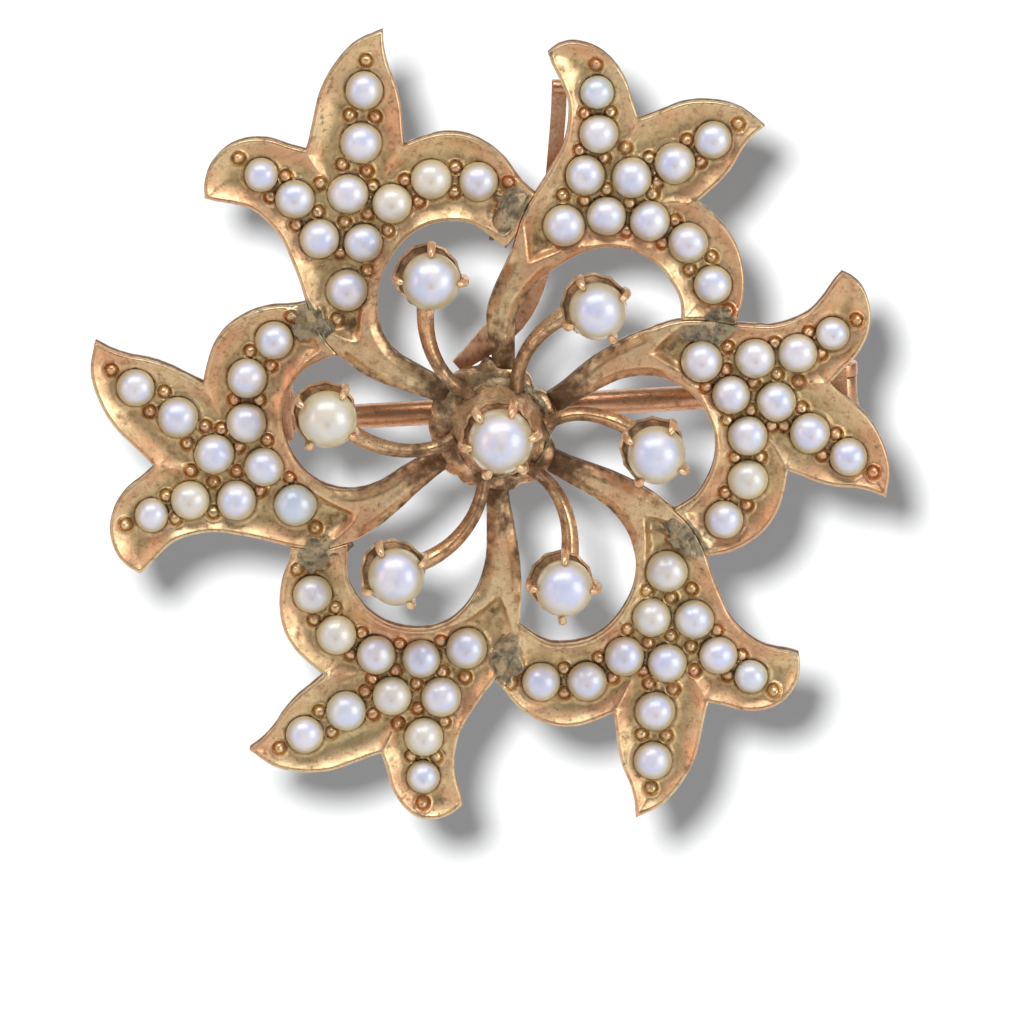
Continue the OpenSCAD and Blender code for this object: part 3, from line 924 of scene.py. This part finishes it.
crown("Centre_crown", "centre_crown", HUB, CROWN_LEAN, low=PLATE - 0.02, high=CENTRE_W - 0.45,
      foot=CROWN_FOOT + 0.1, top=1.48, claws=CROWN_CLAWS, phase=CROWN_TURN, reach=1.12,
      tip_w=CROWN_TOP, width=0.22, old=0.45)
pearl_group("Centre_pearl", [(*HUB, CENTRE_W, CENTRE_RADIUS)], ["centre_pearl"])


def centreline(node, count):
    """Middle points of a wire that runs outwards from the hub."""
    points = flat(node_points(node))
    far = np.linalg.norm(points[:, :2] - HUB, axis=1)
    edges = np.linspace(far.min(), far.max(), count + 1)
    line = []
    for lo, hi in zip(edges, edges[1:]):
        chosen = points[(far >= lo - 1e-6) & (far <= hi + 1e-6)]
        line.append((chosen.min(0) + chosen.max(0)) / 2)
    return np.array(line)


def fit_curve(line, count):
    """A smooth cubic through the line, sampled evenly."""
    t = np.concatenate([[0], np.cumsum(np.linalg.norm(np.diff(line, axis=0), axis=1))])
    t /= t[-1]
    s = np.linspace(0, 1, count)
    return np.stack([np.polyval(np.polyfit(t, line[:, k], 3), s) for k in range(3)], 1)


for k in range(1, 7):
    cup_low, cup_high = box_mm(f"stamen_cup_{k}")
    pearl_low, pearl_high = box_mm(f"stamen_pearl_{k}")
    spot = (pearl_low + pearl_high) / 2
    centre = np.array([spot[0], spot[2]])
    radius = (pearl_high[0] - pearl_low[0]) / 2
    out = centre - HUB
    facing = math.atan2(out[1], out[0])
    base, middle = BACK - cup_high[1], BACK - spot[1]
    # Wire: a tapered bar with a raised back, thicker at the cup
    path = fit_curve(centreline(f"stamen_wire_{k}", 14), WIRE_STEPS)
    turn = np.linspace(0, 2 * np.pi, WIRE_SIDES, endpoint=False)
    sections = []
    for i in range(len(path)):
        t = i / (len(path) - 1)
        half = WIRE_WIDTH[0] + (WIRE_WIDTH[1] - WIRE_WIDTH[0]) * t * t
        keel = np.where(np.sin(turn) > 0, 1.0, 0.85)
        across = half * np.cos(turn) * (1 - 0.45 * np.maximum(0, np.sin(turn)))
        sections.append(np.stack([across, half * keel * np.sin(turn)], 1))
    points, faces = sweep(path, sections)
    t = np.linspace(0, 1, len(path)).repeat(WIRE_SIDES)
    wire = add_mesh(f"Stamen_wire_{k}", points, faces, wire_gold, "brooch", [f"stamen_wire_{k}"],
                    old=np.clip(0.8 - t * 0.6, 0, 1))
    crown(f"Stamen_cup_{k}", f"stamen_cup_{k}", centre, CUP_LEAN, low=base, high=middle - 0.4,
          foot=0.62, top=1.34, claws=CLAWS, phase=facing + CLAW_TURN, reach=1.07,
          tip_w=BACK - cup_low[1], width=0.19, old=0.55)
    pearl_group(f"Stamen_pearl_{k}", [(*centre, middle, radius)], [f"stamen_pearl_{k}"],
                tint=STAMEN_TINTS[k - 1])

# ---------------------------------------------------------------- solder

parts = Parts()
for group in islands("solder_joints"):
    low, high = group.min(0), group.max(0)
    middle = (low + high) / 2
    if np.linalg.norm(middle[:2] - HUB) < HUB_RANGE:
        # A lumpy fillet round the crown's foot
        angles = np.linspace(0, 2 * np.pi, FILLET_SEGMENTS, endpoint=False)
        turn = np.linspace(0, 2 * np.pi, FILLET_SIDES, endpoint=False)
        points = []
        for a in angles:
            thick = 0.02 + 0.16 * noise.noise(Vector((4 * math.cos(a), 4 * math.sin(a), 2)))
            thick += 0.24 * max(0, math.cos(a - 1.6)) ** 4 + 0.16 * max(0, math.cos(a - 0.3)) ** 12
            thick = max(0.02, thick)
            for b in turn:
                r = CROWN_FOOT + 0.05 + thick * math.cos(b)
                points.append([HUB[0] + r * math.cos(a), HUB[1] + r * math.sin(a),
                               PLATE + 0.1 + thick * 0.8 * math.sin(b)])
        parts.add(points, rings_to_faces(FILLET_SEGMENTS, FILLET_SIDES, closed=True))
        continue
    # Solder that has run along the seam of two petals and set almost flush with them
    out = (middle[:2] - HUB) / np.linalg.norm(middle[:2] - HUB)
    seam = math.atan2(out[1], out[0]) + SEAM_TURN
    points, faces = ball((0, 0, 0), SEAM_SIZE, rings=26, segments=40,
                         bump=0.3, seed=middle[0], scale=1.6)
    c, t = math.cos(seam), math.sin(seam)
    points[:, :2] = points[:, :2] @ np.array([[c, t], [-t, c]]) + middle[:2] - SEAM_SHIFT * out
    points[:, 2] += PLATE - SEAM_SIZE[2] + 0.04
    parts.add(points, faces)
parts.build("Solder_joints", solder, "brooch", ["solder_joints"])

# ---------------------------------------------------------------- pin, catch and bail

def eased(node, name, body, width):
    """A CAD part again, with its edges rounded by width as worn metal has them."""
    work = bmesh.new()
    work.from_mesh(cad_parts[node].data)
    bmesh.ops.remove_doubles(work, verts=work.verts, dist=2e-6)
    bmesh.ops.dissolve_limit(work, angle_limit=math.radians(1), verts=work.verts, edges=work.edges)
    mesh = bpy.data.meshes.new(name)
    work.to_mesh(mesh)
    work.free()
    obj = bpy.data.objects.new(name, mesh)
    bpy.context.scene.collection.objects.link(obj)
    mesh.materials.append(pin_gold)
    bevel = obj.modifiers.new("edges", "BEVEL")
    bevel.width = width * MM
    bevel.segments = 3
    bevel.limit_method = "ANGLE"
    bevel.angle_limit = math.radians(35)
    for face in mesh.polygons:
        face.use_smooth = True
    flatten = obj.modifiers.new("shade", "WEIGHTED_NORMAL")
    flatten.keep_sharp = True
    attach(obj, body)
    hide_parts(node)


eased("hinge_bracket", "Hinge_bracket", "brooch", 0.08)
eased("hinge_rivet", "Hinge_rivet", "brooch", 0.08)
eased("pin_knuckle", "Pin_knuckle", "hinge_end", 0.08)
eased("pin_stem", "Pin_stem", "pin", 0.04)
eased("catch", "Catch", "brooch", 0.06)
eased("bail_tube", "Bail_tube", "brooch", 0.05)
eased("bail", "Bail", "bail_loop", 0.06)

# ---------------------------------------------------------------- camera, lights and stage

aim = Vector((HUB[0] * MM, (BACK - PLATE / 2) * MM, HUB[1] * MM))
tilt = math.radians(CAMERA_ELEVATION)
camera_data = bpy.data.cameras.new("Camera")
camera = bpy.data.objects.new("Camera", camera_data)
bpy.context.scene.collection.objects.link(camera)
camera.location = aim + CAMERA_DISTANCE * Vector((0, -math.cos(tilt), math.sin(tilt)))
camera.rotation_euler = (math.pi / 2 - tilt, 0, 0)
camera_data.sensor_width = SENSOR
camera_data.lens = SENSOR * CAMERA_DISTANCE / FIELD
camera_data.shift_x, camera_data.shift_y = CAMERA_SHIFT
camera_data.clip_start = 0.01
camera_data.clip_end = 10
bpy.context.scene.camera = camera


def studio_plane(name, points, colour, glow):
    """A pale matt sheet, seen only from its front."""
    mesh = bpy.data.meshes.new(name)
    mesh.from_pydata(points, [], [(0, 1, 2, 3)])
    obj = bpy.data.objects.new(name, mesh)
    bpy.context.scene.collection.objects.link(obj)
    s = Shader(name + "_paper")
    s.main.inputs["Roughness"].default_value = 0.9
    s.main.inputs["Specular IOR Level"].default_value = 0.0
    darker = tuple(0.985 * c for c in colour)
    s.put(s.main.inputs["Base Color"], s.mix(s.noise(0.05, 2), colour, darker))
    s.main.inputs["Emission Color"].default_value = (1, 1, 1, 1)
    s.main.inputs["Emission Strength"].default_value = glow
    clear = s.node("ShaderNodeBsdfTransparent")
    facing = s.node("ShaderNodeNewGeometry")
    choose = s.node("ShaderNodeMixShader")
    s.put(choose.inputs[0], facing.outputs["Backfacing"])
    s.put(choose.inputs[1], s.main.outputs[0])
    s.put(choose.inputs[2], clear.outputs[0])
    s.put(s.tree.nodes["Material Output"].inputs["Surface"], choose.outputs[0])
    mesh.materials.append(s.material)
    obj.visible_shadow = False
    return obj


card = studio_plane("Backdrop", [(-CARD_REACH, CARD_DISTANCE, FLOOR_HEIGHT),
                                 (CARD_REACH, CARD_DISTANCE, FLOOR_HEIGHT),
                                 (CARD_REACH, CARD_DISTANCE, CARD_REACH),
                                 (-CARD_REACH, CARD_DISTANCE, CARD_REACH)], CARD_GREY, CARD_GLOW)
studio_plane("Floor", [(u * FLOOR_REACH, v * FLOOR_REACH, FLOOR_HEIGHT)
                       for u, v in ((-1, -1), (1, -1), (1, 1), (-1, 1))], FLOOR_GREY, FLOOR_GLOW)


def area_light(name, place, size, radiance, colour=(1, 1, 1), roll=0.0, shape="RECTANGLE"):
    """A soft light at a place, turned to the brooch; radiance is its brightness."""
    data = bpy.data.lights.new(name, "AREA")
    data.shape = shape
    data.size, data.size_y = size
    area = size[0] * size[1] * (math.pi / 4 if shape == "ELLIPSE" else 1)
    data.energy = radiance * math.pi * area
    data.color = colour
    obj = bpy.data.objects.new(name, data)
    bpy.context.scene.collection.objects.link(obj)
    obj.location = place
    rotation = (aim - obj.location).to_track_quat("-Z", "Y")
    obj.rotation_euler = rotation.to_euler()
    obj.rotation_euler.rotate_axis("Z", roll)
    return obj


def towards(right, up, distance=LIGHT_DISTANCE):
    """A place seen from the brooch, in degrees right of and above the camera's line."""
    front, side = (camera.location - aim).normalized(), Vector((1, 0, 0))
    rise = Vector((0, math.sin(tilt), math.cos(tilt)))
    a, b = math.radians(right), math.radians(up)
    way = math.cos(b) * (math.cos(a) * front + math.sin(a) * side) + math.sin(b) * rise
    return aim + distance * way.normalized()


strip = area_light("Strip", towards(-13, 51), (0.38, 0.15), 3.7, roll=math.radians(18))
round_light = area_light("Round", towards(52, 2), (0.22, 0.22), 3.2, shape="ELLIPSE")
side_light = area_light("Side", towards(-62, 5, 0.36), (0.10, 0.16), 3.0, (1.0, 0.66, 0.58))
drop = area_light("Drop", camera.location + Vector(DROP_OFFSET), (0.013, 0.013), 3650.0,
                  shape="ELLIPSE")

# The drop light falls on the backdrop alone, and the other lights fall on all but the backdrop
for light in (drop, strip, round_light, side_light):
    receivers = bpy.data.collections.new(light.name + "_receivers")
    receivers.objects.link(card)
    state = "INCLUDE" if light == drop else "EXCLUDE"
    receivers.collection_objects[0].light_linking.link_state = state
    light.light_linking.receiver_collection = receivers

# Soft air: brighter above than below
world = bpy.data.worlds.new("Studio_air")
bpy.context.scene.world = world
world.use_nodes = True
air = world.node_tree
coordinate = air.nodes.new("ShaderNodeTexCoord")
split = air.nodes.new("ShaderNodeSeparateXYZ")
ramp = air.nodes.new("ShaderNodeValToRGB")
shift = air.nodes.new("ShaderNodeMapRange")
air.links.new(coordinate.outputs["Generated"], split.inputs[0])
air.links.new(split.outputs["Z"], shift.inputs["Value"])
shift.inputs["From Min"].default_value = -1
air.links.new(shift.outputs[0], ramp.inputs[0])
ramp.color_ramp.elements[0].position = 0.15
ramp.color_ramp.elements[0].color = (0.16, 0.15, 0.14, 1)
ramp.color_ramp.elements[1].position = 0.85
ramp.color_ramp.elements[1].color = (0.95, 0.97, 1.0, 1)
sky = air.nodes["Background"]
air.links.new(ramp.outputs[0], sky.inputs["Color"])
sky.inputs["Strength"].default_value = AIR_STRENGTH
# The camera sees white paper all round instead of the air that lights the brooch
paper = air.nodes.new("ShaderNodeBackground")
rays = air.nodes.new("ShaderNodeLightPath")
seen = air.nodes.new("ShaderNodeMixShader")
paper.inputs["Color"].default_value = (1, 1, 1, 1)
air.links.new(rays.outputs["Is Camera Ray"], seen.inputs[0])
air.links.new(sky.outputs[0], seen.inputs[1])
air.links.new(paper.outputs[0], seen.inputs[2])
air.links.new(seen.outputs[0], air.nodes["World Output"].inputs["Surface"])

bpy.context.scene.view_settings.view_transform = "Standard"
